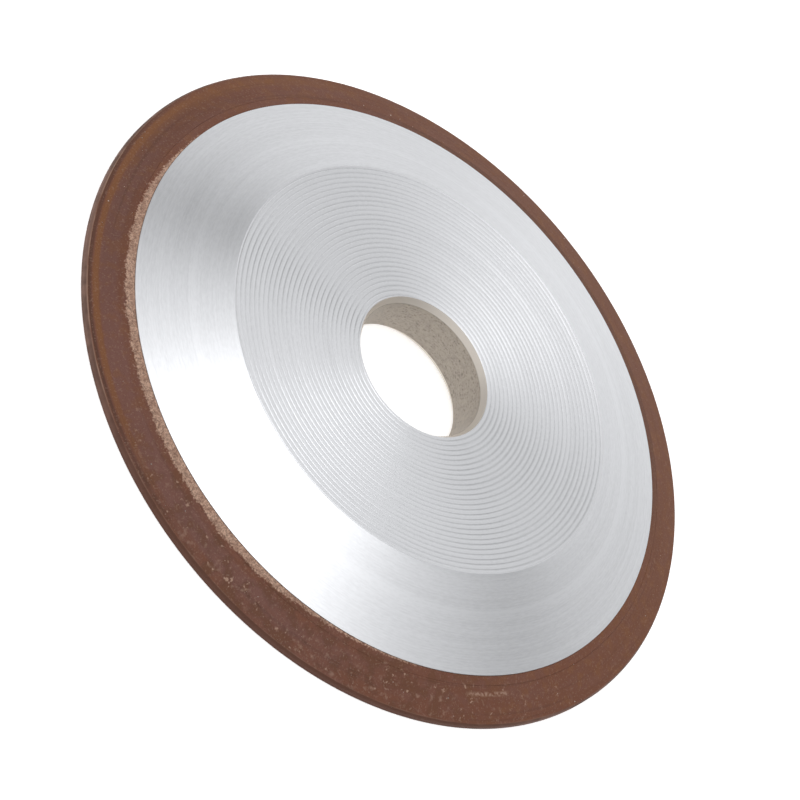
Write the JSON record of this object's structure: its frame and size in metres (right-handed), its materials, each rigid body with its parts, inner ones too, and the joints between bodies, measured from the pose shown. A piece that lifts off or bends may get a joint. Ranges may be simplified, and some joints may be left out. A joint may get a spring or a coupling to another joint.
{
  "type": "diamond grinding wheel",
  "caption": "Single-bevel resin-bond diamond grinding wheel: aluminium core with flat grooved hub, conical front and plain bore, ringed by a brown abrasive rim.",
  "frame": {"origin": "centre of the bore at the flat back face", "axes": "+Z along the wheel's axis, from the flat back towards the bevelled front; +X and +Y are radial and alike"},
  "size_m": [0.125, 0.125, 0.01],
  "materials": {
    "core_aluminium": "fine-turned bright aluminium, with a spiral facing groove on the hub",
    "backing_bond": "pressed brown phenolic bond without diamond, sandy at its edge",
    "diamond_bond": "reddish brown resin bond speckled with diamond grit"
  },
  "bodies": {
    "root": {"aluminium_core": "core_aluminium", "backing_layer": "backing_bond", "diamond_rim": "diamond_bond"}
  },
  "joints": []
}
